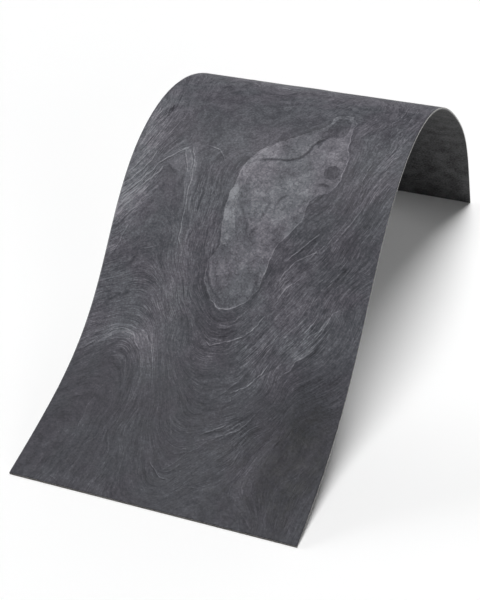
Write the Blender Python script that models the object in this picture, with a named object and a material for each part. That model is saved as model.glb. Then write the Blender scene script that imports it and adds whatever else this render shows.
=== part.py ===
"""A thin sheet of slate veneer on a backing sheet, bent into an arch that stands on its two short edges.

Each layer is made flat, in millimetres, with X across the sheet from its left edge and Y along it
from its front edge. It is then bent, as the real sheet is, and set down with the origin under the
middle of the arch.
"""

import bmesh
import bpy
import numpy as np
from mathutils import Vector, noise
from mathutils.geometry import interpolate_bezier

MM = 0.001

# The sheet as it was cut, lying flat
WIDTH = 300.0
LENGTH = 950.0
BACKING_THICKNESS = 0.6
BOND_GAP = 0.3
SLATE_THICKNESS = 1.2
SLATE_LOW = BACKING_THICKNESS + BOND_GAP
SLATE_HIGH = SLATE_LOW + SLATE_THICKNESS

# The bends of each long edge, from the front: the distance of the bend's middle from the front edge,
# half the length over which it turns, and the degrees that it turns by, upwards if positive
LEFT_BENDS = {"foot": (188.0, 192.0, 44.3), "crest": (411.0, 218.0, -62.7), "rear": (635.0, 237.0, -47.2)}
RIGHT_BENDS = {"foot": (155.0, 247.0, 52.6), "crest": (440.0, 354.0, -99.7), "rear": (794.0, 126.0, -24.8)}
PROFILE_STEP = 1.0

# How finely the flat layers are sliced before they are bent
STATIONS = 100
COLUMNS = 4
SNAP = 0.02

# Broken edges of the thin leaves of slate
OUTLINE_STEPS = 3
RAGGED = 2.2
RAGGED_SCALE = 0.13
RAGGED_SHIFT = Vector((31.7, 12.3, 5.1))
EDGE_MARGIN = 1.0

# Where a flake has come away, with its depth below the face and its outline
SCARS = {
    "great_flake": (0.55, [
        (206, 484), (222, 488), (230, 472), (234, 440), (240, 405), (236, 376), (214, 358), (211, 334),
        (192, 306), (186, 280), (178, 250), (152, 231), (134, 240), (119, 268), (128, 300), (124, 338),
        (129, 386), (147, 418), (176, 439), (200, 460),
    ]),
    "flake_top": (0.8, [
        (211, 478), (222, 479), (227, 460), (224, 446), (209, 442), (203, 424), (200, 442), (206, 462),
    ]),
    "small_pit": (0.85, [(219, 398), (229, 403), (236, 397), (233, 388), (222, 387)]),
    "left_chip": (0.7, [(20, 467), (23, 460), (22, 452), (19, 453), (18, 461)]),
    "front_hollow": (0.4, [
        (292, 12), (268, 16), (262, 42), (270, 68), (282, 92), (292, 118), (296, 70),
    ]),
    "rear_flake": (0.5, [
        (70, 742), (92, 764), (118, 772), (131, 758), (122, 734), (100, 716), (76, 712), (62, 724),
    ]),
}

# Thin leaves that still stand above the face, with their height and their outline
LEAVES = {
    "upper_left": (0.5, [
        (2, 368), (14, 383), (28, 398), (39, 416), (43, 444), (44, 474), (38, 508), (24, 552),
        (8, 590), (2, 560), (2, 480), (2, 420),
    ]),
    "upper_fold": (0.45, [
        (2, 331), (20, 354), (34, 377), (50, 397), (61, 404), (71, 390), (77, 362), (78, 330),
        (74, 352), (68, 374), (60, 388), (47, 384), (33, 362), (18, 338), (2, 318),
    ]),
    "lower_fold": (0.45, [
        (2, 174), (18, 186), (36, 196), (52, 199), (68, 195), (81, 181), (90, 158), (92, 128),
        (84, 118), (82, 146), (72, 168), (60, 181), (44, 185), (24, 175), (2, 160),
    ]),
    "right_upper": (0.5, [
        (204, 274), (216, 289), (232, 303), (248, 320), (260, 344), (272, 372), (280, 402), (286, 400),
        (280, 370), (268, 338), (254, 312), (236, 294), (218, 279), (206, 266),
    ]),
    "right_middle": (0.4, [
        (186, 140), (202, 160), (222, 180), (238, 202), (256, 226), (272, 250), (276, 246), (262, 220),
        (246, 196), (230, 174), (212, 154), (194, 136),
    ]),
    "right_lower": (0.5, [
        (164, 93), (178, 104), (192, 114), (204, 116), (208, 109), (198, 101), (184, 95), (168, 86),
    ]),
    "front_right": (0.4, [
        (218, 38), (220, 58), (228, 82), (240, 112), (246, 140), (252, 138), (249, 110), (238, 80),
        (230, 56), (234, 38), (226, 30),
    ]),
    "crest_left": (0.5, [
        (112, 548), (118, 590), (136, 628), (160, 650), (178, 648), (162, 626), (144, 598), (132, 556),
    ]),
    "rear_right": (0.5, [
        (296, 700), (262, 716), (226, 712), (196, 694), (176, 700), (198, 722), (230, 738), (266, 738),
        (296, 724),
    ]),
    "rear_low": (0.45, [
        (4, 812), (34, 838), (74, 856), (118, 860), (150, 846), (144, 836), (112, 844), (76, 838),
        (40, 818), (4, 790),
    ]),
}
LEAF_ROOT = 0.3
CUTTER_RISE = 1.0
LEVEL_STEP = 0.01

SLATE_COLOUR = (0.085, 0.088, 0.100, 1.0)
SLATE_ROUGHNESS = 0.62
BACKING_COLOUR = (0.022, 0.023, 0.025, 1.0)
BACKING_ROUGHNESS = 0.8


def clear_scene():
    for item in list(bpy.data.objects):
        bpy.data.objects.remove(item, do_unlink=True)


def edge_profile(bends):
    """Forward, up and slope of the underside along one long edge, set level on both short edges."""
    along = np.arange(0.0, LENGTH + PROFILE_STEP, PROFILE_STEP)
    slope = np.zeros_like(along)
    for middle, half, turn in bends.values():
        part = np.clip((along - middle) / half, -1.0, 1.0)
        slope += np.radians(turn) * (1.0 + part + np.sin(np.pi * part) / np.pi) / 2.0

    def run(values):
        return np.concatenate([[0.0], np.cumsum((values[1:] + values[:-1]) / 2.0) * PROFILE_STEP])

    slope -= np.arctan2(run(np.sin(slope))[-1], run(np.cos(slope))[-1])
    return along, run(np.cos(slope)), run(np.sin(slope)), slope


def bent(points, profiles):
    """Bends flat points (across, along, above the underside) between the two edge profiles."""
    across, along, above = points.T
    share = across / WIDTH
    forward = np.zeros(len(points))
    up = np.zeros(len(points))
    for weight, (at, ahead, height, slope) in ((1.0 - share, profiles[0]), (share, profiles[1])):
        turn = np.interp(along, at, slope)
        forward += weight * (np.interp(along, at, ahead) - above * np.sin(turn))
        up += weight * (np.interp(along, at, height) + above * np.cos(turn))
    return np.column_stack([across - WIDTH / 2.0, forward, up])


def smooth_loop(points):
    """A closed curve through the points, with the same number of steps between each two."""
    count = len(points)
    knots = [Vector((x, y, 0.0)) for x, y in points]
    loop = []
    for i in range(count):
        before, here, after, beyond = (knots[(i + k) % count] for k in (-1, 0, 1, 2))
        handle_a = here + (after - before) / 6.0
        handle_b = after - (beyond - here) / 6.0
        loop += interpolate_bezier(here, handle_a, handle_b, after, OUTLINE_STEPS + 1)[:-1]
    return loop


def broken_outline(points):
    """The smooth loop, nibbled by a little noise so that it looks like a cleft edge."""
    loop = []
    for point in smooth_loop(points):
        place = point * RAGGED_SCALE
        sideways = noise.noise(place)
        endways = noise.noise(place + RAGGED_SHIFT)
        moved = point + Vector((sideways, endways, 0.0)) * RAGGED
        moved.x = min(max(moved.x, EDGE_MARGIN), WIDTH - EDGE_MARGIN)
        loop.append(moved)
    return loop


def flat_plate(name, outline, low, high, collection):
    """A closed plate with the given outline, from the height low to the height high."""
    bm = bmesh.new()
    face = bm.faces.new([bm.verts.new((p.x, p.y, low)) for p in outline])
    grown = bmesh.ops.extrude_face_region(bm, geom=[face])
    tops = [item for item in grown["geom"] if isinstance(item, bmesh.types.BMVert)]
    bmesh.ops.translate(bm, verts=tops, vec=(0.0, 0.0, high - low))
    bmesh.ops.recalc_face_normals(bm, faces=bm.faces)
    return add_object(name, bm, collection)


def flat_slab(name, low, high, collection):
    """A plain rectangle of the sheet's full size."""
    bm = bmesh.new()
    bmesh.ops.create_cube(bm, size=1.0)
    bmesh.ops.scale(bm, vec=(WIDTH, LENGTH, high - low), verts=bm.verts)
    bmesh.ops.translate(bm, vec=(WIDTH / 2.0, LENGTH / 2.0, (low + high) / 2.0), verts=bm.verts)
    return add_object(name, bm, collection)


def add_object(name, bm, collection):
    mesh = bpy.data.meshes.new(name)
    bm.to_mesh(mesh)
    bm.free()
    item = bpy.data.objects.new(name, mesh)
    collection.objects.link(item)
    return item


def add_boolean(target, operation, operand):
    modifier = target.modifiers.new(operand.name, "BOOLEAN")
    modifier.operation = operation
    modifier.object = operand
    modifier.solver = "EXACT"


def sliced(bm):
    """Cuts the flat layer across and along, so that its faces can follow the bend."""
    cuts = [(Vector((0.0, LENGTH * k / STATIONS, 0.0)), Vector((0.0, 1.0, 0.0))) for k in range(1, STATIONS)]
    cuts += [(Vector((WIDTH * k / COLUMNS, 0.0, 0.0)), Vector((1.0, 0.0, 0.0))) for k in range(1, COLUMNS)]
    for place, normal in cuts:
        everything = list(bm.verts) + list(bm.edges) + list(bm.faces)
        bmesh.ops.bisect_plane(bm, geom=everything, dist=SNAP, plane_co=place, plane_no=normal)


def bent_layer(name, flat, profiles, middle, collection):
    """Slices the flat object, bends it and adds it to the finished layers, in metres."""
    bm = bmesh.new()
    bm.from_object(flat, bpy.context.evaluated_depsgraph_get())
    bmesh.ops.remove_doubles(bm, verts=bm.verts, dist=SNAP)
    sliced(bm)
    bmesh.ops.triangulate(bm, faces=bm.faces)
    places = bent(np.array([vert.co[:] for vert in bm.verts]), profiles)
    places[:, 1] -= middle
    for vert, place in zip(bm.verts, places):
        vert.co = Vector(place) * MM
    bmesh.ops.recalc_face_normals(bm, faces=bm.faces)
    return add_object(name, bm, collection)


def give_material(item, name, colour, roughness):
    material = bpy.data.materials.new(name)
    material.use_nodes = True
    shader = material.node_tree.nodes["Principled BSDF"]
    shader.inputs["Base Color"].default_value = colour
    shader.inputs["Roughness"].default_value = roughness
    shader.inputs["Metallic"].default_value = 0.0
    item.data.materials.append(material)


def new_collection(name):
    collection = bpy.data.collections.new(name)
    bpy.context.scene.collection.children.link(collection)
    return collection


def main():
    clear_scene()
    layers = new_collection("slate_sheet")
    flats = new_collection("flat_layers")
    scars = new_collection("scar_cutters")
    leaves = new_collection("standing_leaves")

    profiles = (edge_profile(LEFT_BENDS), edge_profile(RIGHT_BENDS))
    corners = [(x, y, z) for x in (0.0, WIDTH) for y in (0.0, LENGTH) for z in (0.0, SLATE_HIGH)]
    reach = bent(np.array(corners), profiles)[:, 1]
    middle = (reach.min() + reach.max()) / 2.0

    flat_slate = flat_slab("flat_slate", SLATE_LOW, SLATE_HIGH, flats)
    for level, (name, (height, points)) in enumerate(LEAVES.items()):
        root = SLATE_HIGH - LEAF_ROOT - LEVEL_STEP * level
        plate = flat_plate(name, broken_outline(points), root, SLATE_HIGH + height, leaves)
        add_boolean(flat_slate, "UNION", plate)
    for level, (name, (depth, points)) in enumerate(SCARS.items()):
        rise = CUTTER_RISE + LEVEL_STEP * level
        plate = flat_plate(name, broken_outline(points), SLATE_HIGH - depth, SLATE_HIGH + rise, scars)
        add_boolean(flat_slate, "DIFFERENCE", plate)
    flat_backing = flat_slab("flat_backing", 0.0, BACKING_THICKNESS, flats)
    bpy.context.view_layer.update()

    slate = bent_layer("slate_layer", flat_slate, profiles, middle, layers)
    give_material(slate, "cleft_slate", SLATE_COLOUR, SLATE_ROUGHNESS)
    backing = bent_layer("backing_sheet", flat_backing, profiles, middle, layers)
    give_material(backing, "fibre_backing", BACKING_COLOUR, BACKING_ROUGHNESS)

    for collection in (flats, scars, leaves):
        for item in collection.objects:
            item.hide_render = True
            item.display_type = "WIRE"


main()
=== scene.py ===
from math import radians

import bmesh
import bpy
import numpy as np
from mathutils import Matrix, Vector, noise
from mathutils.geometry import interpolate_bezier


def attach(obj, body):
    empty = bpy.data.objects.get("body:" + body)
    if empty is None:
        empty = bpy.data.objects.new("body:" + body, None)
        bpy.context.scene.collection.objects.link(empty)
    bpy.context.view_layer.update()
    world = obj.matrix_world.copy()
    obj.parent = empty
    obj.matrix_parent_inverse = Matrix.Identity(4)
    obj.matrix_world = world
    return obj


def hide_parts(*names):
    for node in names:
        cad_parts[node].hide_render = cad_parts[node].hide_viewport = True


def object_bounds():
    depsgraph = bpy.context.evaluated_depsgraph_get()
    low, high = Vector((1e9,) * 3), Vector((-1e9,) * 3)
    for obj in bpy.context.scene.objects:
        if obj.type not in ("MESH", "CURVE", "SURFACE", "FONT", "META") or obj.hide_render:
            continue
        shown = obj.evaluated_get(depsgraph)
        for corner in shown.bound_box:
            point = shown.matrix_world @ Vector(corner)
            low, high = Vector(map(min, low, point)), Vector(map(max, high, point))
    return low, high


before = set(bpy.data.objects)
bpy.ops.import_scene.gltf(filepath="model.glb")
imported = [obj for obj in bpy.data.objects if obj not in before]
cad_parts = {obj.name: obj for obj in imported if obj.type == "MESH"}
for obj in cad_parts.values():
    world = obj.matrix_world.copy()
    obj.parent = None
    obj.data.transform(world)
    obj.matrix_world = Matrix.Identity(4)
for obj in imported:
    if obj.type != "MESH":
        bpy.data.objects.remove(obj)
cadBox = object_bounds()
print("frame loaded:", sorted(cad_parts))

mm = 0.001
hair = 0.001    # millimetres, too small to count
tiny = 1e-12    # so that nothing is divided by zero

# The sheet as it was cut, in millimetres. X runs across it from the left edge, Y along it from the
# front edge. Each bend is the distance of its middle from the front edge, half the length over
# which it turns, and the degrees that it turns by.
sheet = {
    "width": 300.0,
    "length": 950.0,
    "backing": 0.6,
    "bondGap": 0.3,
    "slate": 1.2,
    "leftBends": [(188.0, 192.0, 44.3), (411.0, 218.0, -62.7), (635.0, 237.0, -47.2)],
    "rightBends": [(155.0, 247.0, 52.6), (440.0, 354.0, -99.7), (794.0, 126.0, -24.8)],
    "profileStep": 1.0,
}
slateLow = sheet["backing"] + sheet["bondGap"]
slateHigh = slateLow + sheet["slate"]


def edgeProfile(bends):
    # forward, up and slope of the underside along one long edge, level on both short edges
    along = np.arange(0.0, sheet["length"] + sheet["profileStep"], sheet["profileStep"])
    slope = np.zeros_like(along)
    for middle, half, turn in bends:
        part = np.clip((along - middle) / half, -1.0, 1.0)
        slope += np.radians(turn) * (1.0 + part + np.sin(np.pi * part) / np.pi) / 2.0

    def run(values):
        steps = (values[1:] + values[:-1]) / 2.0 * sheet["profileStep"]
        return np.concatenate([[0.0], np.cumsum(steps)])

    slope -= np.arctan2(run(np.sin(slope))[-1], run(np.cos(slope))[-1])
    return along, run(np.cos(slope)), run(np.sin(slope)), slope


profiles = (edgeProfile(sheet["leftBends"]), edgeProfile(sheet["rightBends"]))


def bentPlaces(flat):
    # flat points (across, along, above the underside) taken to the bent sheet
    across, along, above = flat.T
    share = across / sheet["width"]
    forward = np.zeros(len(flat))
    up = np.zeros(len(flat))
    for weight, (at, ahead, height, slope) in ((1.0 - share, profiles[0]), (share, profiles[1])):
        turn = np.interp(along, at, slope)
        forward += weight * (np.interp(along, at, ahead) - above * np.sin(turn))
        up += weight * (np.interp(along, at, height) + above * np.cos(turn))
    return np.column_stack([across - sheet["width"] / 2.0, forward, up])


flatCorners = [(x, y, z) for x in (0.0, sheet["width"]) for y in (0.0, sheet["length"])
               for z in (0.0, slateHigh)]
cornerReach = bentPlaces(np.array(flatCorners))[:, 1]
sheetMiddle = (cornerReach.min() + cornerReach.max()) / 2.0


def setPlaces(mesh, flat):
    places = bentPlaces(flat)
    places[:, 1] -= sheetMiddle
    mesh.vertices.foreach_set("co", (places * mm).ravel())
    mesh.update()


def flatPlaces(mesh):
    places = np.empty(len(mesh.vertices) * 3)
    mesh.vertices.foreach_get("co", places)
    return places.reshape(-1, 3)


def pointValues(mesh, name, values):
    kind = "FLOAT" if values.ndim == 1 else "FLOAT_VECTOR"
    attribute = mesh.attributes.new(name, kind, "POINT")
    attribute.data.foreach_set("value" if values.ndim == 1 else "vector", values.astype(np.float32).ravel())


def flatSlab(columns, rows, low, high):
    # a closed flat slab: a grid for its upper face, and an underside cut only across
    bm = bmesh.new()
    bmesh.ops.create_grid(bm, x_segments=columns, y_segments=rows, size=0.5)
    bmesh.ops.scale(bm, vec=(sheet["width"], sheet["length"], 1.0), verts=bm.verts)
    bmesh.ops.translate(bm, vec=(sheet["width"] / 2.0, sheet["length"] / 2.0, low), verts=bm.verts)
    grown = bmesh.ops.extrude_face_region(bm, geom=list(bm.faces))
    tops = [item for item in grown["geom"] if isinstance(item, bmesh.types.BMVert)]
    bmesh.ops.translate(bm, vec=(0.0, 0.0, high - low), verts=tops)
    middle = (low + high) / 2.0

    def isInnerLengthwise(edge):
        first, second = (vert.co for vert in edge.verts)
        isLow = first.z < middle and second.z < middle
        isInner = hair < first.x < sheet["width"] - hair
        return isLow and isInner and abs(first.x - second.x) < hair

    lines = [edge for edge in bm.edges if isInnerLengthwise(edge)]
    bmesh.ops.dissolve_edges(bm, edges=lines, use_verts=True, use_face_split=False)
    bmesh.ops.recalc_face_normals(bm, faces=bm.faces)
    return bm


# The folded strata of the slate: lines that the layers follow on the face, each at its own level.
# A smooth surface through all of them gives every point of the face its place in the layering.
strataLines = [
    (191, [(3, 333), (33, 379), (50, 399), (62, 404), (72, 389), (80, 333), (87, 279), (103, 236),
           (133, 199), (147, 191), (163, 193), (192, 226), (213, 263), (243, 299), (263, 339),
           (275, 386), (297, 426)]),
    (-20, [(3, 166), (20, 179), (37, 191), (50, 193), (63, 188), (73, 176), (82, 159), (85, 136),
           (82, 79), (88, 0)]),
    (-20, [(297, 165), (270, 145), (252, 125), (240, 100), (231, 75), (227, 53), (233, 36), (255, 0)]),
    (93, [(0, 235), (20, 243), (60, 252), (75, 240), (95, 205), (110, 150), (130, 105), (143, 95),
          (155, 93), (170, 100), (200, 120), (225, 155), (245, 200), (265, 235), (297, 290)]),
    (35, [(0, 195), (20, 205), (40, 213), (60, 213), (75, 200), (92, 165), (110, 115), (127, 65),
          (137, 45), (147, 35), (158, 45), (185, 78), (212, 112), (240, 160), (297, 260)]),
    (5, [(75, 185), (88, 160), (103, 80), (112, 45), (125, 15), (140, 5), (155, 8), (180, 40),
         (210, 70), (235, 115), (262, 158), (297, 200)]),
    (-60, [(0, 120), (20, 140), (40, 152), (55, 150), (65, 130), (68, 100), (66, 70), (60, 0)]),
    (143, [(30, 290), (45, 310), (60, 315), (72, 300), (88, 245), (105, 190), (120, 165), (135, 150),
           (150, 143), (165, 150), (195, 172), (215, 210), (245, 262), (275, 320), (297, 375)]),
    (232, [(0, 352), (25, 385), (45, 430), (48, 460), (42, 490), (30, 546), (20, 600), (0, 640)]),
    (285, [(0, 380), (20, 430), (24, 455), (20, 485), (0, 540)]),
    (200, [(140, 200), (125, 215), (98, 262), (88, 300), (85, 350), (93, 450), (100, 546), (106, 600),
           (125, 650), (155, 690), (195, 715), (240, 735), (297, 745)]),
    (216, [(120, 546), (112, 450), (105, 350), (103, 300), (110, 270), (122, 240), (137, 222),
           (150, 216), (165, 219), (188, 250), (205, 285), (228, 318), (250, 350), (262, 400),
           (275, 470), (280, 546), (262, 610), (225, 650), (185, 655), (150, 630), (128, 590)]),
    (232, [(205, 546), (190, 485), (155, 445), (128, 400), (121, 350), (118, 300), (120, 280),
           (130, 250), (150, 232), (168, 238), (190, 285), (215, 335), (240, 375), (247, 450),
           (252, 546), (235, 580), (215, 575)]),
    (250, [(228, 546), (230, 480)]),
    (190, [(160, 560), (150, 500), (143, 460), (130, 432)]),
    (185, [(55, 546), (60, 480), (68, 430), (75, 480), (85, 546)]),
    (-10, [(150, -8), (170, 8), (190, 25), (212, 33), (230, 15), (240, 0)]),
    (-45, [(267, 0), (263, 53), (278, 86), (297, 130)]),
    (-70, [(285, 0), (290, 60), (297, 80)]),
    (188, [(72, 546), (80, 620), (100, 690), (140, 740), (200, 770), (297, 790)]),
    (200, [(0, 700), (40, 740), (90, 790), (150, 820), (220, 835), (297, 830)]),
    (230, [(0, 780), (50, 830), (110, 870), (180, 890), (297, 880)]),
    (270, [(0, 860), (60, 910), (130, 940), (200, 950)]),
]
strataEase = 60.0   # how far the surface may pass beside the lines, so that it stays smooth


def strataField(x, y):
    # a thin-plate surface through the levels of the lines
    known = np.array([(px, py, level) for level, line in strataLines for px, py in line], float)

    def bend(ax, ay, bx, by):
        square = (ax[:, None] - bx[None, :]) ** 2 + (ay[:, None] - by[None, :]) ** 2
        return square * np.log(square + 1e-9)

    def plane(ax, ay):
        return np.column_stack([np.ones_like(ax), ax, ay])

    kx, ky, levels = known.T
    count = len(known)
    system = np.zeros((count + 3, count + 3))
    system[:count, :count] = bend(kx, ky, kx, ky) + strataEase * np.eye(count)
    system[:count, count:] = plane(kx, ky)
    system[count:, :count] = plane(kx, ky).T
    weights = np.linalg.solve(system, np.concatenate([levels, np.zeros(3)]))
    field = np.empty_like(x)
    for start in range(0, len(x), 20000):
        part = slice(start, start + 20000)
        field[part] = bend(x[part], y[part], kx, ky) @ weights[:count]
        field[part] += plane(x[part], y[part]) @ weights[count:]
    return field


noiseCells = 128     # to each side, before the noise repeats


def softNoise(x, y, size, seed):
    # smooth noise between -1 and 1, with features about size millimetres wide
    table = np.random.default_rng(seed).uniform(-1.0, 1.0, (noiseCells, noiseCells))
    u, v = x / size, y / size
    i, j = np.floor(u).astype(int), np.floor(v).astype(int)
    a, b = u - i, v - j
    a, b = a * a * (3.0 - 2.0 * a), b * b * (3.0 - 2.0 * b)

    def at(di, dj):
        return table[(i + di) % noiseCells, (j + dj) % noiseCells]

    low = at(0, 0) * (1.0 - a) + at(1, 0) * a
    high = at(0, 1) * (1.0 - a) + at(1, 1) * a
    return low * (1.0 - b) + high * b


def roughNoise(x, y, size, seed, octaves=4):
    # the same with finer and finer noise on it, each half as wide and half as high
    total = np.zeros_like(x)
    for k in range(octaves):
        total += softNoise(x, y, size / 2.0 ** k, seed + k) / 2.0 ** k
    return total


def ease(values, low, high):
    part = np.clip((values - low) / (high - low), 0.0, 1.0)
    return part * part * (3.0 - 2.0 * part)


# Where a flake has come away from the face: its depth and outline
scars = {
    "greatFlake": (0.55, [
        (206, 484), (222, 488), (230, 472), (234, 440), (240, 405), (236, 376), (214, 358), (211, 334),
        (192, 306), (186, 280), (178, 250), (152, 231), (134, 240), (119, 268), (128, 300), (124, 338),
        (129, 386), (147, 418), (176, 439), (200, 460)]),
    "flakeTop": (0.8, [
        (211, 478), (222, 479), (227, 460), (224, 446), (209, 442), (203, 424), (200, 442), (206, 462)]),
    "smallPit": (0.85, [(219, 398), (229, 403), (236, 397), (233, 388), (222, 387)]),
    "leftChip": (0.7, [(20, 467), (23, 460), (22, 452), (19, 453), (18, 461)]),
    "frontHollow": (0.4, [
        (292, 12), (268, 16), (262, 42), (270, 68), (282, 92), (292, 118), (296, 70)]),
    "rearFlake": (0.5, [
        (70, 742), (92, 764), (118, 772), (131, 758), (122, 734), (100, 716), (76, 712), (62, 724)]),
}

# The scars whose rims are drawn on their own
scarEdges = {"greatFlake": "flakeEdge", "flakeTop": "pitEdge", "smallPit": "pitEdge"}

# Thin leaves that still stand above the face: their height and outline
leaves = {
    "upperLeft": (0.5, [
        (2, 368), (14, 383), (28, 398), (39, 416), (43, 444), (44, 474), (38, 508), (24, 552),
        (8, 590), (2, 560), (2, 480), (2, 420)]),
    "upperFold": (0.45, [
        (2, 331), (20, 354), (34, 377), (50, 397), (61, 404), (71, 390), (77, 362), (78, 330),
        (74, 352), (68, 374), (60, 388), (47, 384), (33, 362), (18, 338), (2, 318)]),
    "lowerFold": (0.45, [
        (2, 174), (18, 186), (36, 196), (52, 199), (68, 195), (81, 181), (90, 158), (92, 128),
        (84, 118), (82, 146), (72, 168), (60, 181), (44, 185), (24, 175), (2, 160)]),
    "rightUpper": (0.5, [
        (204, 274), (216, 289), (232, 303), (248, 320), (260, 344), (272, 372), (280, 402), (286, 400),
        (280, 370), (268, 338), (254, 312), (236, 294), (218, 279), (206, 266)]),
    "rightMiddle": (0.4, [
        (186, 140), (202, 160), (222, 180), (238, 202), (256, 226), (272, 250), (276, 246), (262, 220),
        (246, 196), (230, 174), (212, 154), (194, 136)]),
    "rightLower": (0.5, [
        (164, 93), (178, 104), (192, 114), (204, 116), (208, 109), (198, 101), (184, 95), (168, 86)]),
    "frontRight": (0.4, [
        (218, 38), (220, 58), (228, 82), (240, 112), (246, 140), (252, 138), (249, 110), (238, 80),
        (230, 56), (234, 38), (226, 30)]),
    "crestLeft": (0.5, [
        (112, 548), (118, 590), (136, 628), (160, 650), (178, 648), (162, 626), (144, 598), (132, 556)]),
    "rearRight": (0.5, [
        (296, 700), (262, 716), (226, 712), (196, 694), (176, 700), (198, 722), (230, 738), (266, 738),
        (296, 724)]),
    "rearLow": (0.45, [
        (4, 812), (34, 838), (74, 856), (118, 860), (150, 846), (144, 836), (112, 844), (76, 838),
        (40, 818), (4, 790)]),
    "smallFlake": (0.2, [(44, 384), (52, 390), (61, 385), (63, 379), (58, 372), (50, 377)]),
    "insideFlake": (0.22, [
        (125, 342), (127, 366), (131, 390), (143, 408), (158, 424), (163, 421), (150, 407), (141, 394),
        (138, 372), (135, 345), (139, 322), (141, 306), (131, 300), (127, 320)]),
}
brokenEdge = {"steps": 3, "reach": 2.2, "scale": 0.13, "shift": Vector((31.7, 12.3, 5.1)), "margin": 1.0}


def brokenOutline(points):
    # a closed curve through the points, nibbled by a little noise like a cleft edge
    count = len(points)
    knots = [Vector((x, y, 0.0)) for x, y in points]
    loop = []
    for i in range(count):
        before, here, after, beyond = (knots[(i + k) % count] for k in (-1, 0, 1, 2))
        handleA = here + (after - before) / 6.0
        handleB = after - (beyond - here) / 6.0
        for point in interpolate_bezier(here, handleA, handleB, after, brokenEdge["steps"] + 1)[:-1]:
            place = point * brokenEdge["scale"]
            sideways = noise.noise(place)
            endways = noise.noise(place + brokenEdge["shift"])
            moved = point + Vector((sideways, endways, 0.0)) * brokenEdge["reach"]
            moved.x = min(max(moved.x, brokenEdge["margin"]), sheet["width"] - brokenEdge["margin"])
            loop.append((moved.x, moved.y))
    return np.array(loop)


# Where single layers end in a pale broken line: how strongly each one shows, and its course
layerEnds = [
    (1.0, [(1, 333), (10, 346), (20, 357), (28, 369), (35, 379), (44, 389), (50, 394), (58, 401),
           (63, 405)]),
    (0.8, [(3, 325), (10, 337), (22, 351), (31, 361), (37, 368), (42, 377)]),
    (0.8, [(2, 352), (10, 360), (18, 369), (24, 381), (27, 398)]),
    (0.9, [(2, 365), (9, 374), (14, 383), (19, 396)]),
    (0.8, [(3, 393), (8, 412), (13, 428), (17, 441)]),
    (0.6, [(21, 392), (26, 404), (31, 416), (36, 430), (40, 446)]),
    (0.5, [(14, 395), (20, 410), (25, 424), (28, 440)]),
    (0.7, [(65, 407), (71, 397), (75, 385), (77, 369), (78, 353), (79, 341), (80, 320), (82, 297),
           (88, 286)]),
    (0.6, [(59, 402), (63, 391), (68, 380), (71, 369)]),
    (0.7, [(80, 410), (91, 408), (98, 406), (104, 399), (109, 392)]),
    (0.4, [(3, 301), (13, 316), (25, 330), (38, 340)]),
    (0.5, [(7, 272), (12, 282), (16, 297), (21, 313)]),
    (0.6, [(40, 283), (50, 285), (58, 288)]),
    (0.7, [(52, 251), (63, 248)]),
    (1.0, [(205, 290), (211, 298), (218, 305), (227, 316), (234, 324)]),
    (0.8, [(202, 270), (208, 280), (215, 290), (223, 298), (233, 303), (245, 308)]),
    (0.5, [(238, 303), (247, 313), (257, 323)]),
    (0.8, [(249, 312), (254, 322), (260, 332), (267, 347), (272, 359)]),
    (0.6, [(200, 238), (205, 248), (208, 257), (213, 265), (222, 273), (233, 282)]),
    (0.9, [(140, 195), (145, 192), (155, 196), (167, 200), (179, 206), (185, 213), (192, 225), (196, 232)]),
    (0.6, [(160, 218), (167, 222), (170, 227)]),
    (0.7, [(246, 214), (250, 220), (257, 225), (261, 231)]),
    (0.4, [(207, 195), (212, 207), (217, 220)]),
    (0.5, [(3, 162), (12, 168), (20, 177), (33, 190), (45, 194), (58, 192), (66, 178), (73, 172)]),
    (0.5, [(20, 171), (30, 178), (40, 182), (55, 183)]),
    (0.6, [(77, 193), (82, 182), (87, 170), (92, 158), (97, 143), (100, 127)]),
    (0.4, [(80, 120), (81, 100), (79, 85), (75, 72), (82, 58), (88, 45)]),
    (0.5, [(93, 120), (94, 107), (91, 93), (90, 83), (93, 67)]),
    (0.3, [(47, 128), (43, 113), (41, 97), (42, 77), (44, 57)]),
    (0.3, [(68, 73), (62, 60), (55, 47)]),
    (0.4, [(130, 110), (133, 100), (137, 90), (142, 82)]),
    (1.0, [(169, 94), (178, 100), (185, 105), (192, 112)]),
    (0.7, [(181, 90), (187, 97), (195, 102), (204, 107), (212, 120), (217, 133)]),
    (0.7, [(205, 94), (207, 83)]),
    (0.5, [(145, 43), (152, 54), (160, 66), (168, 77), (178, 88)]),
    (0.9, [(131, 53), (136, 46), (142, 40), (148, 37), (155, 37)]),
    (0.5, [(170, 28), (177, 33), (193, 36)]),
    (0.9, [(185, 146), (190, 150), (200, 158), (208, 170), (215, 187)]),
    (0.8, [(228, 170), (235, 178), (240, 190), (248, 198)]),
    (0.5, [(168, 135), (177, 147), (183, 153), (190, 164)]),
    (0.25, [(250, 113), (240, 93), (233, 77), (227, 60), (228, 47), (235, 38)]),
    (0.4, [(280, 97), (277, 72), (265, 62), (260, 50), (261, 20), (268, 2)]),
    (0.5, [(271, 24), (274, 13), (278, 3)]),
    (0.3, [(240, 18), (247, 11), (253, 5)]),
    (0.3, [(35, 12), (46, 7), (58, 2)]),
    (0.4, [(15, 130), (33, 134)]),
    (0.5, [(272, 470), (268, 482), (274, 500), (273, 520), (272, 545)]),
    (0.4, [(109, 488), (115, 504), (127, 524), (132, 545)]),
    (0.6, [(280, 400), (283, 410), (287, 421), (294, 432)]),
    (0.5, [(264, 365), (262, 385), (264, 405), (270, 425)]),
    (0.5, [(60, 600), (75, 640), (100, 690), (135, 720), (180, 735)]),
    (0.6, [(130, 560), (140, 600), (165, 640), (200, 652), (235, 640)]),
    (0.5, [(10, 730), (45, 765), (90, 800), (140, 822)]),
    (0.5, [(150, 850), (190, 862), (240, 858), (290, 850)]),
]

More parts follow.
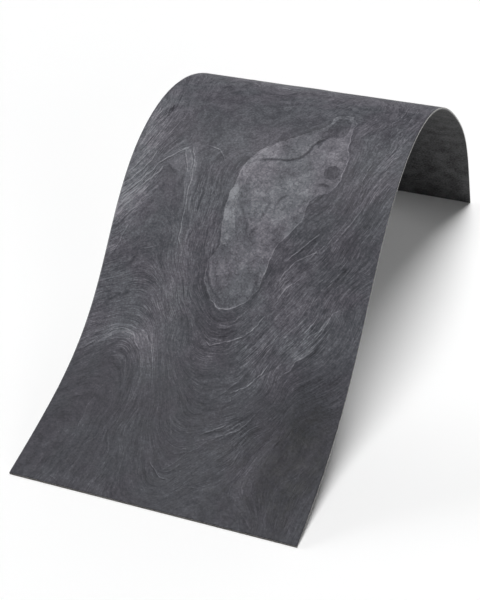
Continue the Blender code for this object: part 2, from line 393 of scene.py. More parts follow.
# Cracks, and the base of a step, cut as grooves in the relief; the material paints shade in and around them
# and a highlight beside them
cracks = [
    (1.0, [(146, 399), (152, 402), (165, 403), (176, 404), (187, 408), (195, 419), (200, 434), (209, 444)]),
    (0.8, [(212, 377), (222, 379), (229, 376)]),
    (0.6, [(178, 348), (183, 357), (191, 362)]),
    (0.5, [(159, 314), (163, 321), (168, 322)]),
    (0.5, [(141, 345), (146, 335), (153, 325), (156, 312)]),
    (0.6, [(121, 278), (122, 268), (126, 257), (133, 248), (142, 241)]),
    (0.6, [(46, 380), (52, 374), (59, 371)]),
    (0.6, [(30, 263), (35, 269), (38, 273)]),
    (0.5, [(10, 212), (20, 223), (31, 230), (42, 236)]),
    (0.7, [(168, 91), (178, 97), (186, 101), (191, 107)]),
    (0.5, [(180, 276), (178, 266), (181, 258)]),
    (0.5, [(55, 292), (58, 287)]),
    (0.4, [(166, 330), (170, 341), (172, 352)]),
]

# The cleft face: its grid, and the relief that stands on it, in millimetres
cleftFace = {
    "columns": 167,
    "rows": 528,
    "wall": 0.9,          # half the width of a broken wall, no finer than the grid can show
    "softWall": 5.0,      # the same where the rim is worn away
    "soft": ("frontHollow", "upperLeft"),
    "leafShare": 0.75,    # of the height of a leaf, as the waves come on top
    "leafCalm": 0.5,      # how far a leaf of one millimetre would calm the relief on it
    "flakeCalm": 0.75,    # and how far the great flake does
    "crackDepth": 0.34,
    "crackWidth": 1.9,
    "endHeight": 0.14,    # of a layer that ends
    "endWidth": 1.5,
    "endFade": (-0.3, 0.8),     # in points of a line, from its end
    "swell": 0.10,        # long low waves of the split
    "ledge": 0.20,        # layers that break off one after another
    "ledgeEvery": 11.0,
    "ledgeDrop": 0.14,    # the share of a ledge that is its drop
    "thinLedge": 0.08,
    "thinLedgeEvery": 4.3,
    "thinLedgeDrop": 0.25,
    "thinLedgeShare": 1.2,
    "thinLedgeShift": 0.3,
    "fineLedgeShare": 0.4,
    "ledgePlaces": (-0.35, 0.45),     # of their noise, from where none is to where all are
    "grain": 0.04,
    "scallop": 0.15,      # shell-like dips inside the great flake
    "warp": 9.0,          # how far the ledges wander from the strata
    "fineWarp": 3.0,
    "ragged": 1.0,        # how far the rims of scars and leaves wander
    "scallopWarp": 6.0,
    "highest": 0.30,      # so that nothing stands above the leaves of the solid
    "deepest": -0.95,
    "plainEnd": 3.0,
    "farAway": 12.0,
    "noises": {           # size in millimetres, seed, and how many layers of finer noise
        "warp": (55.0, 11), "fineWarp": (17.0, 21), "ledges": (47.0, 31), "fineLedges": (19.0, 32),
        "swell": (90.0, 41, 3), "grain": (9.0, 51, 3), "scallopWarp": (30.0, 61), "scallop": (24.0, 62),
        "raggedX": (7.0, 71, 2), "raggedY": (7.0, 81, 2),
    },
}


def terrace(level, sharp):
    # a slow rise, then a sudden drop, once in each whole number of the level
    part = level - np.floor(level)
    return np.where(part < 1.0 - sharp, part / (1.0 - sharp), (1.0 - part) / sharp) - 0.5


def insideDistance(outline, x, y):
    # distance to the outline, positive inside it, and no more than farAway either way
    farAway = cleftFace["farAway"]
    distance = np.full(len(x), -farAway)
    low, high = outline.min(0) - farAway, outline.max(0) + farAway
    near = np.nonzero((x > low[0]) & (x < high[0]) & (y > low[1]) & (y < high[1]))[0]
    px, py = x[near], y[near]
    nearest = np.full(len(near), farAway)
    inside = np.zeros(len(near), bool)
    for (ax, ay), (bx, by) in zip(outline, np.roll(outline, -1, axis=0)):
        dx, dy = bx - ax, by - ay
        share = np.clip(((px - ax) * dx + (py - ay) * dy) / (dx * dx + dy * dy + tiny), 0.0, 1.0)
        nearest = np.minimum(nearest, np.hypot(px - ax - share * dx, py - ay - share * dy))
        crosses = (ay > py) != (by > py)
        if crosses.any():
            at = ax + (py - ay) * dx / (dy if abs(dy) > tiny else tiny)
            inside ^= crosses & (px < at)
    distance[near] = np.where(inside, nearest, -nearest)
    return distance


def nearestLine(lines, x, y):
    # for each point the distance to the nearest line, the same with a sign for its two sides, and
    # how much that line counts there
    reach = cleftFace["farAway"]
    near = np.full(len(x), reach)
    side = np.full(len(x), reach)
    share = np.zeros(len(x))
    for amount, points in lines:
        line = np.array(points, float)
        low, high = line.min(0) - reach, line.max(0) + reach
        chosen = np.nonzero((x > low[0]) & (x < high[0]) & (y > low[1]) & (y < high[1]))[0]
        px, py = x[chosen], y[chosen]
        for i, ((ax, ay), (bx, by)) in enumerate(zip(line[:-1], line[1:])):
            dx, dy = bx - ax, by - ay
            part = np.clip(((px - ax) * dx + (py - ay) * dy) / (dx * dx + dy * dy), 0.0, 1.0)
            awayX, awayY = px - ax - part * dx, py - ay - part * dy
            distance = np.hypot(awayX, awayY)
            closer = distance < near[chosen]
            at = chosen[closer]
            fromEnd = np.minimum(i + part[closer], len(line) - 1 - i - part[closer])
            near[at] = distance[closer]
            side[at] = np.where(dx * awayY[closer] > dy * awayX[closer], 1.0, -1.0) * distance[closer]
            share[at] = amount * ease(fromEnd, *cleftFace["endFade"])
    return near, side, share


def cleftRelief(x, y, strata):
    # the relief of the face, with the distances that the material draws its fine edges from
    f = cleftFace
    n = f["noises"]
    warped = strata + f["warp"] * softNoise(x, y, *n["warp"])
    warped += f["fineWarp"] * roughNoise(x, y, *n["fineWarp"])
    ledges = softNoise(x, y, *n["ledges"]) + f["fineLedgeShare"] * softNoise(x, y, *n["fineLedges"])
    comesAndGoes = ease(ledges, *f["ledgePlaces"])
    thinShare = f["thinLedgeShare"] - comesAndGoes
    thinLevel = warped / f["thinLedgeEvery"] + f["thinLedgeShift"]
    relief = f["swell"] * roughNoise(x, y, *n["swell"])
    relief += f["ledge"] * comesAndGoes * terrace(warped / f["ledgeEvery"], f["ledgeDrop"])
    relief += f["thinLedge"] * thinShare * terrace(thinLevel, f["thinLedgeDrop"])
    relief += f["grain"] * roughNoise(x, y, *n["grain"])

    raggedX = x + f["ragged"] * roughNoise(x, y, *n["raggedX"])
    raggedY = y + f["ragged"] * roughNoise(x, y, *n["raggedY"])
    far = np.full(len(x), f["farAway"])
    edges = {"flakeEdge": -far, "pitEdge": -far, "scarEdge": -far, "leafEdge": -far}
    depths = np.zeros(len(x))
    for name, (depth, points) in scars.items():
        distance = insideDistance(brokenOutline(points), raggedX, raggedY)
        wall = f["softWall"] if name in f["soft"] else f["wall"]
        if name not in f["soft"]:
            group = scarEdges.get(name, "scarEdge")
            edges[group] = np.maximum(edges[group], distance)
        depths = np.maximum(depths, depth * ease(distance, -wall, wall))
    heights = np.zeros(len(x))
    for name, (height, points) in leaves.items():
        distance = insideDistance(brokenOutline(points), raggedX, raggedY)
        wall = f["softWall"] if name in f["soft"] else f["wall"]
        if name not in f["soft"]:
            edges["leafEdge"] = np.maximum(edges["leafEdge"], distance)
        heights = np.maximum(heights, f["leafShare"] * height * ease(distance, -wall, wall))
    inFlake = ease(edges["flakeEdge"], -f["wall"], f["wall"])
    scallopX = x + f["scallopWarp"] * softNoise(x, y, *n["scallopWarp"])
    scallops = roughNoise(scallopX, y, *n["scallop"])
    relief = relief * (1.0 - inFlake * f["flakeCalm"]) + inFlake * f["scallop"] * scallops
    relief = relief * (1.0 - f["leafCalm"] * heights) + heights - depths
    for lines, name, amount, width in ((cracks, "crack", -f["crackDepth"], f["crackWidth"]),
                                       (layerEnds, "layerEnd", f["endHeight"], f["endWidth"])):
        near, side, share = nearestLine(lines, raggedX, raggedY)
        edges[name + "Near"] = near
        edges[name + "Side"] = side
        edges[name + "Share"] = share
        relief += amount * share * np.exp(-(near / width) ** 2)
    nearEnd = np.minimum(y, sheet["length"] - y) < f["plainEnd"]
    relief = np.clip(relief, f["deepest"], np.where(nearEnd, 0.0, f["highest"]))
    return relief, edges


# Broad lighter and darker places on the face, and those where the layers show as sharp lines:
# where each is, how far it reaches, and how much
# Some of these are painted shade: the dark spots in the flake top, the small pit and the left chip, and the
# darker places just outside the rim of the great flake at its upper left and right.
tonePatches = [
    (175, 370, 45, 60, 0.04), (12, 420, 16, 75, 0.12), (85, 455, 42, 48, -0.02), (18, 394, 20, 30, 0.01),
    (10, 330, 22, 40, 0.19), (66, 386, 15, 18, 0.09), (53, 381, 8, 6, 0.06), (131, 345, 9, 50, 0.05),
    (147, 413, 14, 9, 0.06), (52, 188, 42, 14, 0.08), (215, 415, 18, 20, 0.03), (212, 402, 14, 14, -0.02),
    (264, 120, 36, 55, -0.24), (246, 60, 9, 30, -0.10), (275, 75, 30, 70, -0.12), (238, 90, 11, 55, 0.05),
    (30, 223, 32, 28, 0.06), (82, 240, 16, 80, 0.07), (212, 220, 30, 80, 0.05), (150, 210, 38, 14, -0.08),
    (180, 130, 30, 30, 0.03), (215, 300, 18, 24, -0.08), (216, 462, 10, 18, -0.08), (227, 395, 8, 7, -0.10),
    (21, 459, 2.5, 7, -0.4), (264, 328, 38, 56, -0.12), (273, 495, 30, 40, -0.05), (268, 290, 3, 3, -0.3),
    (175, 460, 24, 22, -0.05), (148, 276, 30, 34, -0.06), (270, 430, 34, 44, 0.01),
    (128, 225, 16, 20, -0.08), (36, 117, 40, 35, -0.05), (222, 340, 10, 26, -0.05),
    (259, 38, 26, 34, -0.10), (124, 124, 26, 30, -0.03),
    (122, 237, 20, 26, 0.03), (88, 433, 60, 30, -0.02), (268, 433, 40, 30, -0.02),
]
paleBands = [
    (0.07, 5.0, [(247, 165), (252, 140), (250, 113), (240, 93), (233, 77), (227, 60), (228, 47), (235, 34),
                 (247, 10)]),
    (0.09, 4.0, [(286, 120), (280, 95), (276, 72), (265, 62), (260, 50), (260, 20), (267, 2)]),
    (0.08, 4.5, [(62, 404), (70, 397), (76, 382), (78, 362), (79, 340)]),
    (0.06, 5.0, [(68, 200), (78, 192), (85, 178), (91, 158), (98, 140), (101, 122)]),
    (0.06, 4.5, [(2, 161), (20, 175), (37, 188), (52, 192), (62, 185), (72, 173)]),
    (0.07, 4.5, [(80, 318), (83, 298), (90, 276), (86, 250), (84, 232)]),
    (0.07, 3.5, [(47, 128), (43, 110), (41, 95), (42, 75), (45, 55)]),
    (0.07, 5.0, [(94, 105), (91, 85), (93, 65), (97, 50)]),
    (0.06, 5.0, [(186, 182), (200, 172), (208, 166)]),
    (0.07, 4.0, [(204, 240), (212, 262), (224, 275), (236, 285)]),
    (0.06, 5.0, [(0, 15), (30, 8), (60, 12), (90, 6)]),
]
linePatches = [
    (14, 400, 30, 90, 0.9), (35, 350, 26, 30, 0.3), (53, 368, 18, 22, -1.0), (48, 318, 24, 30, -0.7),
    (85, 455, 44, 50, -0.5), (160, 460, 40, 40, -0.3), (80, 510, 60, 30, -0.2), (240, 240, 45, 90, 0.65),
    (285, 400, 20, 90, 0.5),
    (90, 200, 20, 120, 0.5), (45, 185, 50, 22, 0.4), (190, 106, 26, 14, 0.8), (165, 195, 45, 14, 0.7),
    (200, 60, 50, 50, 0.3), (120, 600, 60, 60, 0.6), (240, 720, 60, 40, 0.6), (90, 840, 90, 40, 0.6),
    (60, 90, 60, 70, -0.2), (240, 60, 40, 50, -0.2),
]
plainLines = 0.4     # how sharp they show everywhere else

# How much lighter the face is painted away from the front edge, and from where to where: painted shade on
# the front slope and painted light toward the crest, for how the light falls on them
paintedLightSlopes = [(0.16, 110.0, 230.0), (0.02, 240.0, 350.0), (0.03, 500.0, 545.0)]


def patchSum(patches, x, y):
    total = np.zeros(len(x))
    for px, py, reachX, reachY, amount in patches:
        total += amount * np.exp(-((x - px) / reachX) ** 2 - ((y - py) / reachY) ** 2)
    return total


def broadTone(x, y):
    tone = patchSum(tonePatches, x, y)
    # painted shade low on the front slope, painted light toward the crest
    for amount, start, end in paintedLightSlopes:
        tone += amount * ease(y, start, end)
    for amount, width, points in paleBands:
        near, side, share = nearestLine([(amount, points)], x, y)
        tone += share * np.exp(-(near / width) ** 2)
    return tone


# Where the rim of the great flake is pale: partly the pale broken stone of the rim, partly painted light
# where the rim wall faces the light
paleAndLitRimPatches = [
    (236, 445, 8, 40, 1.0), (237, 392, 10, 16, 1.0), (152, 232, 48, 12, 1.0), (118, 262, 10, 24, 0.8),
    (206, 330, 12, 26, 0.5), (184, 285, 12, 22, 0.6), (208, 486, 20, 8, 0.4),
]


def linearColour(hexText):
    parts = [int(hexText[i:i + 2], 16) / 255.0 for i in (1, 3, 5)]
    return tuple(p / 12.92 if p <= 0.04045 else ((p + 0.055) / 1.055) ** 2.4 for p in parts) + (1.0,)


def addNode(tree, kind, settings=None, links=None):
    # a new node: settings name its own values or its sockets, links join sockets to earlier outputs
    node = tree.nodes.new(kind)
    for key, value in (settings or {}).items():
        if isinstance(key, int) or key in node.inputs:
            node.inputs[key].default_value = value
        else:
            setattr(node, key, value)
    for key, output in (links or {}).items():
        tree.links.new(output, node.inputs[key])
    return node


def newMaterial(name):
    material = bpy.data.materials.new(name)
    material.use_nodes = True
    material.node_tree.nodes.clear()
    return material, material.node_tree


# Natural slate, torn off its block along the cleavage by the backing that was glued to it. Its mica
# lies flat in the layers, so the dull blue-black and purple-grey stone has a faint silky light, and
# thin pale lines where layers end.
cleftSlate = {
    "ramp": [(0.0, "#19191c"), (0.32, "#34343a"), (0.55, "#4a4a50"), (0.78, "#6b6b71"), (1.0, "#949499")],
    "start": -0.215,             # brings the sum of the looks below to the middle of the ramp
    "purple": "#f5f1f4",
    "green": "#f1f4f4",
    "layered": {                 # size in mm across the layers and along them, detail, roughness, shift
        "bands": (9.0, 50.0, 3.0, 0.55, 0.0),
        "threads": (1.3, 9.0, 3.0, 0.65, 13.0),
        "paleLines": (3.6, 48.0, 2.0, 0.5, 31.0),
        "darkLines": (4.4, 36.0, 2.0, 0.5, 47.0),
    },
    "even": {                    # size in mm, detail, roughness, shift
        "wander": (9.0, 3.0, 0.6, 3.0),
        "mottle": (13.0, 7.0, 0.68, 0.0),
        "specks": (2.0, 2.0, 0.6, 5.0),
        "shells": (20.0, 5.0, 0.6, 57.0),
        "scaly": (15.0, 5.0, 0.62, 91.0),     # cracks of the scaly surface inside the flake
        "clusters": (30.0, 3.0, 0.6, 71.0),
        "tints": (42.0, 3.0, 0.5, 23.0),
    },
    "wanderReach": 3.0,
    "lineWidth": 0.09,           # in parts of the noise, as the next one
    "scalyWidth": 0.035,
    "threadShare": (0.65, 0.22),     # where the lines show most, and everywhere
    "threadCalm": 0.75,          # how far the great flake hides the threads
    "walls": {"inFlake": 0.35, "scar": 0.45, "pit": 0.45, "leaf": 0.4},     # half widths in mm
    "leafLip": (0.9, 0.1),       # mm from the rim where it ends, and where it is full
    "flakeLip": (1.0, 0.15),
    # how far the painted shade outside the rim of the great flake reaches, in mm from the rim
    "flakeFootShade": (-6.0, -0.4),
    "strokes": {                 # along which lines, half the width, and how far beside them, in mm
        # a pale line on each layer end, and painted shade beside it
        "layerEnd": ("layerEnd", 0.85, 0.0), "shadeBesideLayerEnd": ("layerEnd", 1.1, 1.3),
        # painted shade in and around the cracks, and a painted highlight beside them
        "crack": ("crack", 1.4, 0.0), "aroundCrack": ("crack", 3.4, 0.0),
        "litBesideCrack": ("crack", 1.2, -2.9),
    },
    "strokeReach": (3.6, 2.2),
    "strokeCore": 0.1,
    "contrast": {"clusters": (0.38, 0.62), "tints": (0.36, 0.64), "roughness": (0.3, 0.7)},
    "roughness": (0.48, 0.68),
    "gloss": 0.3,
    "tones": {
        "bands": 0.36, "threads": 1.05, "mottle": 0.44, "specks": 0.50, "paleLines": 0.26,
        # painted shade beside the layer ends and in and around the cracks, and a painted highlight beside
        # the cracks
        "darkLines": -0.20, "layerEnd": 0.30, "shadeBesideLayerEnd": -0.12, "crack": -0.10,
        "aroundCrack": -0.22, "litBesideCrack": 0.08,
        # painted shade just outside the rim of the great flake and in the pits, and a rim that is partly
        # pale broken stone, partly painted light
        "inFlake": 0.15, "foot": -0.06, "lip": 0.28, "pitWall": -0.15, "leafLip": 0.08, "leafWall": 0.05,
        "scaly": -0.12, "shells": 0.40,
    },
    "heights": {                 # in millimetres, finer than the mesh
        "bands": 0.16, "threads": 0.25, "mottle": 0.5, "specks": 0.12, "paleLines": 0.16, "darkLines": -0.16,
        "layerEnd": 0.16, "crack": -0.15, "aroundCrack": -0.15, "scarWall": -0.25, "inFlake": -0.40,
        "pitWall": -0.30, "leafWall": 0.28, "scaly": -0.12, "shells": 1.2,
    },
}


def makeCleftSlate():
    f = cleftSlate
    material, tree = newMaterial("cleftSlate")

    def faceValue(name, output="Fac"):
        return addNode(tree, "ShaderNodeAttribute", {"attribute_name": name}).outputs[output]

    def number(operation, *parts):
        settings, links = {"operation": operation}, {}
        for key, value in enumerate(parts):
            if isinstance(value, (int, float)):
                settings[key] = value
            else:
                links[key] = value
        return addNode(tree, "ShaderNodeMath", settings, links).outputs[0]

    def ranged(source, low, high, first=0.0, last=1.0):
        settings = {"interpolation_type": "SMOOTHSTEP", "From Min": low, "From Max": high,
                    "To Min": first, "To Max": last}
        return addNode(tree, "ShaderNodeMapRange", settings, {"Value": source}).outputs[0]

    def noiseAt(vector, scale, detail, rough, away):
        shift = {"operation": "ADD", 1: (away, away, away)}
        moved = addNode(tree, "ShaderNodeVectorMath", shift, {0: vector})
        settings = {"Scale": scale, "Detail": detail, "Roughness": rough}
        return addNode(tree, "ShaderNodeTexNoise", settings, {"Vector": moved.outputs[0]}).outputs["Fac"]

    def even(name):
        size, detail, rough, away = f["even"][name]
        return noiseAt(place, 1.0 / size, detail, rough, away)

    def layered(name):
        # noise stretched along the layers
        across, along, detail, rough, away = f["layered"][name]
        level = number("MULTIPLY", strata, 1.0 / across)
        x = number("MULTIPLY", split.outputs["X"], 1.0 / along)
        y = number("MULTIPLY", split.outputs["Y"], 1.0 / along)
        joined = addNode(tree, "ShaderNodeCombineXYZ", links={"X": level, "Y": x, "Z": y})
        return noiseAt(joined.outputs[0], 1.0, detail, rough, away)

    def ridge(source, width):
        # a thin line where the noise passes its middle
        away = number("ABSOLUTE", number("SUBTRACT", source, 0.5), 0.0)
        return ranged(away, width, 0.0)

    def weighted(kind, total):
        for name, weight in f[kind].items():
            total = number("MULTIPLY_ADD", look[name], weight, total)
        return total

    place = faceValue("flatPlace", "Vector")
    split = addNode(tree, "ShaderNodeSeparateXYZ", links={0: place})
    strata = number("MULTIPLY_ADD", even("wander"), f["wanderReach"], faceValue("strata"))
    flakeEdge, leafEdge = faceValue("flakeEdge"), faceValue("leafEdge")

    def wall(edge, name):
        return ranged(edge, -f["walls"][name], f["walls"][name])

    inFlake = wall(flakeEdge, "inFlake")
    outside = number("SUBTRACT", 1.0, inFlake)

    def stroke(name, width, aside):
        # a thin line along the nearest crack or layer end, or just beside it
        side = number("ABSOLUTE", number("ADD", faceValue(name + "Side"), aside), 0.0)
        close = ranged(faceValue(name + "Near"), *f["strokeReach"])
        line = number("MULTIPLY", ranged(side, width, f["strokeCore"]), close)
        return number("MULTIPLY", line, faceValue(name + "Share"))

    flakeLip = ranged(number("ABSOLUTE", flakeEdge, 0.0), *f["flakeLip"])
    look = {
        "inFlake": inFlake,
        "scarWall": wall(faceValue("scarEdge"), "scar"),
        # the pit walls are sunk in the relief and also painted darker, as shade in the pits
        "pitWall": wall(faceValue("pitEdge"), "pit"),
        "leafWall": wall(leafEdge, "leaf"),
        "leafLip": ranged(number("ABSOLUTE", leafEdge, 0.0), *f["leafLip"]),
        # the pale rim of the great flake, partly broken stone and partly painted light
        "lip": number("MULTIPLY", flakeLip, faceValue("lip")),
        # painted shade on the stone just outside the rim of the great flake, where the step drops into it
        "foot": number("MULTIPLY", ranged(flakeEdge, *f["flakeFootShade"]), outside),
        "bands": layered("bands"),
        "mottle": even("mottle"),
        "specks": even("specks"),
        "shells": number("MULTIPLY", number("SUBTRACT", even("shells"), 0.5), inFlake),
        "scaly": number("MULTIPLY", ridge(even("scaly"), f["scalyWidth"]), inFlake),
    }
    for name, course in f["strokes"].items():
        look[name] = stroke(*course)
    calm = number("SUBTRACT", 1.0, number("MULTIPLY", inFlake, f["threadCalm"]))
    threadShare = number("MULTIPLY", number("MULTIPLY_ADD", faceValue("lines"), *f["threadShare"]), calm)
    look["threads"] = number("MULTIPLY", number("SUBTRACT", layered("threads"), 0.5), threadShare)
    clusters = ranged(even("clusters"), *f["contrast"]["clusters"])
    lineShare = number("MULTIPLY", number("MULTIPLY", faceValue("lines"), outside), clusters)
    for name in ("paleLines", "darkLines"):
        look[name] = number("MULTIPLY", ridge(layered(name), f["lineWidth"]), lineShare)

    value = weighted("tones", number("ADD", faceValue("tone"), f["start"]))
    ramp = addNode(tree, "ShaderNodeValToRGB", links={"Fac": value})
    stops = ramp.color_ramp.elements
    for at, colour in f["ramp"][1:-1]:
        stops.new(at).color = linearColour(colour)
    stops[0].color = linearColour(f["ramp"][0][1])
    stops[-1].color = linearColour(f["ramp"][-1][1])
    tints = ranged(even("tints"), *f["contrast"]["tints"])
    twoTints = {"Color1": linearColour(f["green"]), "Color2": linearColour(f["purple"])}
    tint = addNode(tree, "ShaderNodeMixRGB", twoTints, {"Fac": tints})
    colour = addNode(tree, "ShaderNodeMixRGB", {"blend_type": "MULTIPLY", "Fac": 1.0},
                     {"Color1": ramp.outputs["Color"], "Color2": tint.outputs[0]})

    height = weighted("heights", 0.0)
    bump = addNode(tree, "ShaderNodeBump", {"Strength": 1.0, "Distance": mm}, {"Height": height})
    rough = ranged(look["mottle"], *f["contrast"]["roughness"], *f["roughness"])
    shader = addNode(tree, "ShaderNodeBsdfPrincipled", {"IOR": 1.5, "Specular IOR Level": f["gloss"]},
                     {"Base Color": colour.outputs[0], "Roughness": rough, "Normal": bump.outputs[0]})
    addNode(tree, "ShaderNodeOutputMaterial", links={"Surface": shader.outputs[0]})
    return material


# The same slate where the sheet was sawn to size: stone dust in the saw marks makes the long sides
# pale grey, and the short ends, which lie on the floor, are brown grey from wear.
sawnSides = {"dark": "#8d8c8b", "pale": "#d6d5d3", "grain": 1.4, "roughness": 0.75}
wornEnds = {"dark": "#4b4946", "pale": "#8b8883", "grain": 1.6, "roughness": 0.8}

# The backing where it was sawn with the slate: broken ends of glass fibre in dark resin
cutFleece = {"dark": "#5c5c5c", "pale": "#a9a9a8", "grain": 1.2, "roughness": 0.7}
wornFleece = {"dark": "#2e2d2c", "pale": "#6a6764", "grain": 1.2, "roughness": 0.7}
sawMarks = {"detail": 3.0, "contrast": (0.35, 0.65), "strength": 0.4, "depth": 0.2}


def makeCutFace(name, f):
    material, tree = newMaterial(name)
    place = addNode(tree, "ShaderNodeTexCoord").outputs["Object"]
    size = {"Scale": 1.0 / (f["grain"] * mm), "Detail": sawMarks["detail"]}
    grain = addNode(tree, "ShaderNodeTexNoise", size, {"Vector": place}).outputs["Fac"]
    low, high = sawMarks["contrast"]
    wide = addNode(tree, "ShaderNodeMapRange", {"From Min": low, "From Max": high}, {"Value": grain})
    twoColours = {"Color1": linearColour(f["dark"]), "Color2": linearColour(f["pale"])}
    colour = addNode(tree, "ShaderNodeMixRGB", twoColours, {"Fac": wide.outputs[0]})
    marks = {"Strength": sawMarks["strength"], "Distance": sawMarks["depth"] * mm}
    bump = addNode(tree, "ShaderNodeBump", marks, {"Height": grain})
    shader = addNode(tree, "ShaderNodeBsdfPrincipled", {"Roughness": f["roughness"]},
                     {"Base Color": colour.outputs[0], "Normal": bump.outputs[0]})
    addNode(tree, "ShaderNodeOutputMaterial", links={"Surface": shader.outputs[0]})
    return material


def markCutFaces(bm):
    # the faces of a flat slab: 0 for its two large faces, 1 for the long sides, 2 for the short ends
    for face in bm.faces:
        face.material_index = 0 if abs(face.normal.z) > 0.5 else 1 if abs(face.normal.x) > 0.5 else 2
        face.smooth = face.material_index == 0


# Glass fleece set in black polyester resin, rolled on the back of the slate: almost black and
# dull, with a fine mottled grain where the short fibres cross.
fibreBacking = {
    "dark": "#0f0f10",
    "pale": "#4c4c4d",
    "fleece": (2.6, 4.0, 0.75),      # size in mm, detail, roughness
    "patch": (17.0, 3.0, 0.5),
    "patchShare": 0.35,
    "contrast": (0.40, 0.64),
    "strength": 0.5,
    "depth": 0.4,
    "roughness": 0.75,
    "gloss": 0.3,
}


def makeFibreBacking():
    f = fibreBacking
    material, tree = newMaterial("fibreBacking")
    place = addNode(tree, "ShaderNodeAttribute", {"attribute_name": "flatPlace"}).outputs["Vector"]

    def grainOf(name):
        size, detail, rough = f[name]
        settings = {"Scale": 1.0 / size, "Detail": detail, "Roughness": rough}
        return addNode(tree, "ShaderNodeTexNoise", settings, {"Vector": place}).outputs["Fac"]

    fleece = grainOf("fleece")
    twoGrains = {"Color1": fleece, "Color2": grainOf("patch")}
    both = addNode(tree, "ShaderNodeMixRGB", {"Fac": f["patchShare"]}, twoGrains).outputs[0]
    low, high = f["contrast"]
    wide = addNode(tree, "ShaderNodeMapRange", {"From Min": low, "From Max": high}, {"Value": both})
    twoColours = {"Color1": linearColour(f["dark"]), "Color2": linearColour(f["pale"])}
    colour = addNode(tree, "ShaderNodeMixRGB", twoColours, {"Fac": wide.outputs[0]})
    fibres = {"Strength": f["strength"], "Distance": f["depth"] * mm}
    bump = addNode(tree, "ShaderNodeBump", fibres, {"Height": fleece})
    finish = {"Roughness": f["roughness"], "Specular IOR Level": f["gloss"]}
    shader = addNode(tree, "ShaderNodeBsdfPrincipled", finish,
                     {"Base Color": colour.outputs[0], "Normal": bump.outputs[0]})
    addNode(tree, "ShaderNodeOutputMaterial", links={"Surface": shader.outputs[0]})
    return material


def addPiece(name, bm, materials):
    mesh = bpy.data.meshes.new(name)
    bm.to_mesh(mesh)
    bm.free()
    for material in materials:
        mesh.materials.append(material)
    piece = bpy.data.objects.new(name, mesh)
    bpy.context.scene.collection.objects.link(piece)
    return piece


def makeSlate():
    f = cleftFace
    bm = flatSlab(f["columns"], f["rows"], slateLow, slateHigh)
    markCutFaces(bm)
    cutFaces = [makeCutFace("sawnSides", sawnSides), makeCutFace("wornEnds", wornEnds)]
    slate = addPiece("cleft_slate_layer", bm, [makeCleftSlate()] + cutFaces)
    flat = flatPlaces(slate.data)
    isTop = flat[:, 2] > (slateLow + slateHigh) / 2.0
    x, y = flat[:, 0], flat[:, 1]
    strata = strataField(x, y)
    relief, edges = cleftRelief(x, y, strata)
    flat[:, 2] += np.where(isTop, relief, 0.0)
    over = bentPlaces(flat)[:, 2] - cadBox[1][2] / mm
    flat[:, 2] -= np.maximum(over, 0.0)     # nothing on the crest stands above the solid
    print("relief from", round(float(relief.min()), 2), "to", round(float(relief.max()), 2), "mm")
    pointValues(slate.data, "strata", strata)
    # the broad tone, which holds painted shade and painted light as well as the stone's own tone
    pointValues(slate.data, "tone", broadTone(x, y))
    # the pale rim of the great flake, partly painted light
    pointValues(slate.data, "lip", np.clip(patchSum(paleAndLitRimPatches, x, y), 0.0, 1.0))
    pointValues(slate.data, "lines", np.clip(plainLines + patchSum(linePatches, x, y), 0.0, 1.0))
    for name, distance in edges.items():
        pointValues(slate.data, name, distance)
    pointValues(slate.data, "flatPlace", np.column_stack([x, y, np.zeros_like(x)]))
    setPlaces(slate.data, flat)
    return slate


backingGrid = {"columns": 60, "rows": 380}


def makeBacking():
    bm = flatSlab(backingGrid["columns"], backingGrid["rows"], 0.0, sheet["backing"])
    markCutFaces(bm)
    cutFaces = [makeCutFace("cutFleece", cutFleece), makeCutFace("wornFleece", wornFleece)]
    backing = addPiece("fibre_backing_sheet", bm, [makeFibreBacking()] + cutFaces)
    flat = flatPlaces(backing.data)
    pointValues(backing.data, "flatPlace", flat.copy())
    setPlaces(backing.data, flat)
    return backing


slate = makeSlate()
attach(slate, "root")
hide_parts("slate_layer")
print("slate made:", len(slate.data.polygons), "faces")

backing = makeBacking()
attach(backing, "root")
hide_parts("backing_sheet")
print("backing made:", len(backing.data.polygons), "faces")

# The studio: a plain pale floor and a plain pale backdrop that gives next to no light, and four soft
# lights: a strong one straight above, and three low and weak ones. The left one rakes over the face
# and through the arch, the front one reaches the underside, and the back one lays a weak shade on the
# floor in front. Each has its power, its spread in degrees, and its tilt to the front and right.
studio = {
    "floorReach": 80.0,
    "floorColour": "#fafafa",
    "floorRoughness": 0.9,
    "floorGloss": 0.2,
    "backdropColour": "#ffffff",
    "backdropLight": 0.04,
    "lights": {
        "lightAbove": (2.54, 27.0, (0.0, 0.0)),
        "lightLeft": (1.57, 25.0, (0.0, -78.0)),
        "lightFront": (0.63, 25.0, (43.8, 73.3)),
        "lightBehind": (0.54, 40.0, (-65.0, 0.0)),
    },
}


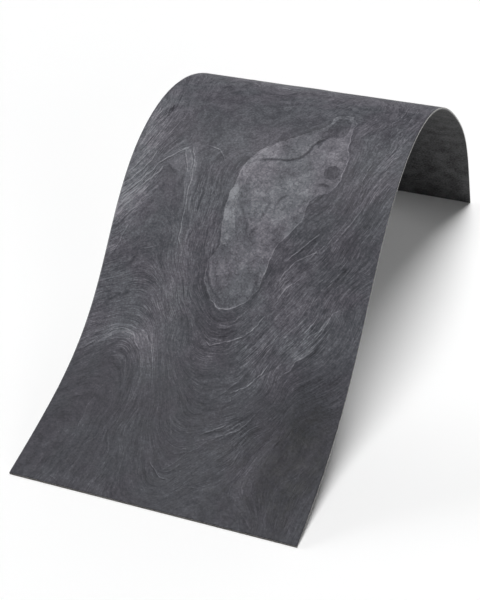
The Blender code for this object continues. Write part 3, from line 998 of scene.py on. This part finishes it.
def makeFloor():
    bm = bmesh.new()
    bmesh.ops.create_grid(bm, x_segments=1, y_segments=1, size=studio["floorReach"] / 2.0)
    material, tree = newMaterial("studioFloor")
    settings = {"Base Color": linearColour(studio["floorColour"]), "Roughness": studio["floorRoughness"],
                "Specular IOR Level": studio["floorGloss"]}
    shader = addNode(tree, "ShaderNodeBsdfPrincipled", settings)
    addNode(tree, "ShaderNodeOutputMaterial", links={"Surface": shader.outputs[0]})
    return addPiece("studioFloor", bm, [material])


floor = makeFloor()

for name, (power, spread, (toFront, toRight)) in studio["lights"].items():
    lamp = bpy.data.lights.new(name, "SUN")
    lamp.energy = power
    lamp.angle = radians(spread)
    lampObject = bpy.data.objects.new(name, lamp)
    lampObject.rotation_euler = (radians(toFront), radians(toRight), 0.0)
    lampObject.visible_glossy = name != "lightBehind"   # which would leave a glint on the crest
    bpy.context.scene.collection.objects.link(lampObject)

world = bpy.data.worlds.new("paleBackdrop")
world.use_nodes = True
backdrop = world.node_tree.nodes["Background"]
backdrop.inputs["Color"].default_value = linearColour(studio["backdropColour"])
isSeen = addNode(world.node_tree, "ShaderNodeLightPath").outputs["Is Camera Ray"]
share = {"operation": "MULTIPLY_ADD", 1: 1.0 - studio["backdropLight"], 2: studio["backdropLight"]}
strength = addNode(world.node_tree, "ShaderNodeMath", share, {0: isSeen})
world.node_tree.links.new(strength.outputs[0], backdrop.inputs["Strength"])
bpy.context.scene.world = world
bpy.context.scene.view_settings.view_transform = "Standard"

# The camera of the photograph, fitted to the outline of the sheet
view = {"place": (0.4104, -1.2129, 0.7822), "turn": (59.157, 0.0, 20.895), "lens": 75.07, "sensor": 36.0}
cameraData = bpy.data.cameras.new("camera")
cameraData.lens = view["lens"]
cameraData.sensor_width = view["sensor"]
camera = bpy.data.objects.new("camera", cameraData)
camera.location = view["place"]
camera.rotation_euler = tuple(radians(angle) for angle in view["turn"])
bpy.context.scene.collection.objects.link(camera)
bpy.context.scene.camera = camera
print("studio ready")
